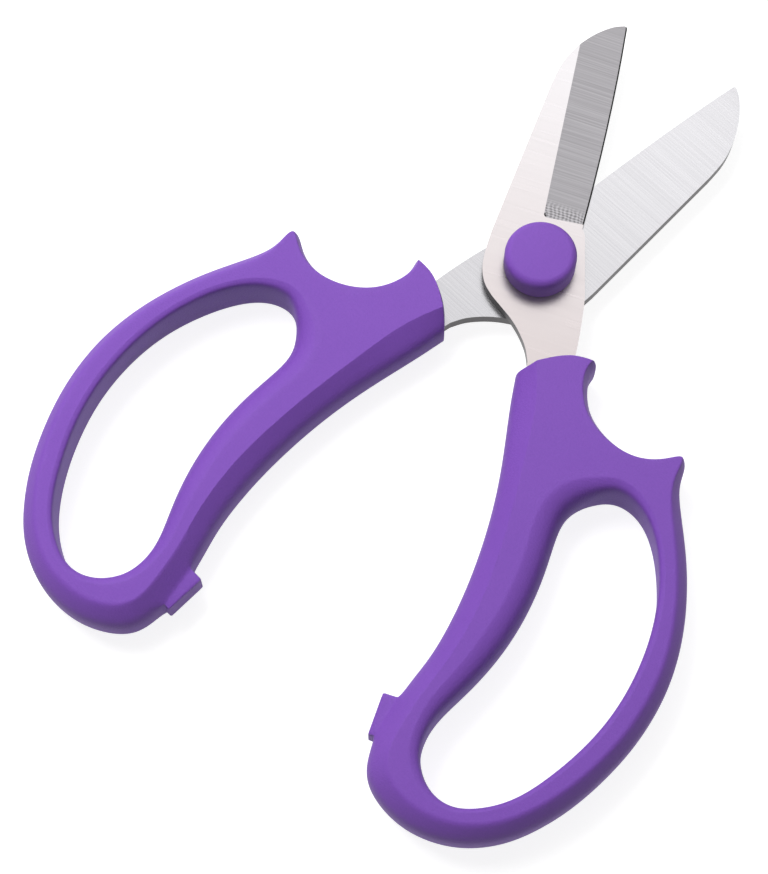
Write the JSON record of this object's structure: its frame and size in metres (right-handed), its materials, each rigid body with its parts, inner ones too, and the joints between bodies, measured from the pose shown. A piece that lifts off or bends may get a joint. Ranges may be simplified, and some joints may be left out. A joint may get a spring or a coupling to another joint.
{
  "type": "florist scissors",
  "caption": "Florist scissors with short broad blades, loop handles with finger rests and stop nubs, and a capped pivot bolt; the blades swing open and shut.",
  "frame": {"origin": "on the pivot axis, at the flat rear face of the pivot bolt, which is level with the backs of the handles", "axes": "+Z along the pivot axis towards the cap, +Y along the centre line between the blades towards their tips, +X towards the right handle"},
  "size_m": [0.1264, 0.1617, 0.0141],
  "materials": {
    "blade_steel": "ground",
    "handle_plastic": "satin",
    "plated_steel": "zinc plated"
  },
  "bodies": {
    "rear_half": {"rear_blade": "blade_steel", "left_handle": "handle_plastic", "pivot_bolt": "plated_steel", "flat_washer": "plated_steel", "wave_washer": "plated_steel", "pivot_nut": "plated_steel", "pivot_cap": "handle_plastic"},
    "front_half": {"front_blade": "blade_steel", "right_handle": "handle_plastic"}
  },
  "joints": [
    {"name": "pivot_hinge", "type": "hinge", "parent": "rear_half", "child": "front_half", "pos_m": [0, 0, 0.006], "axis": [0, 0, 1], "range_deg": [-25.2, 75]}
  ]
}
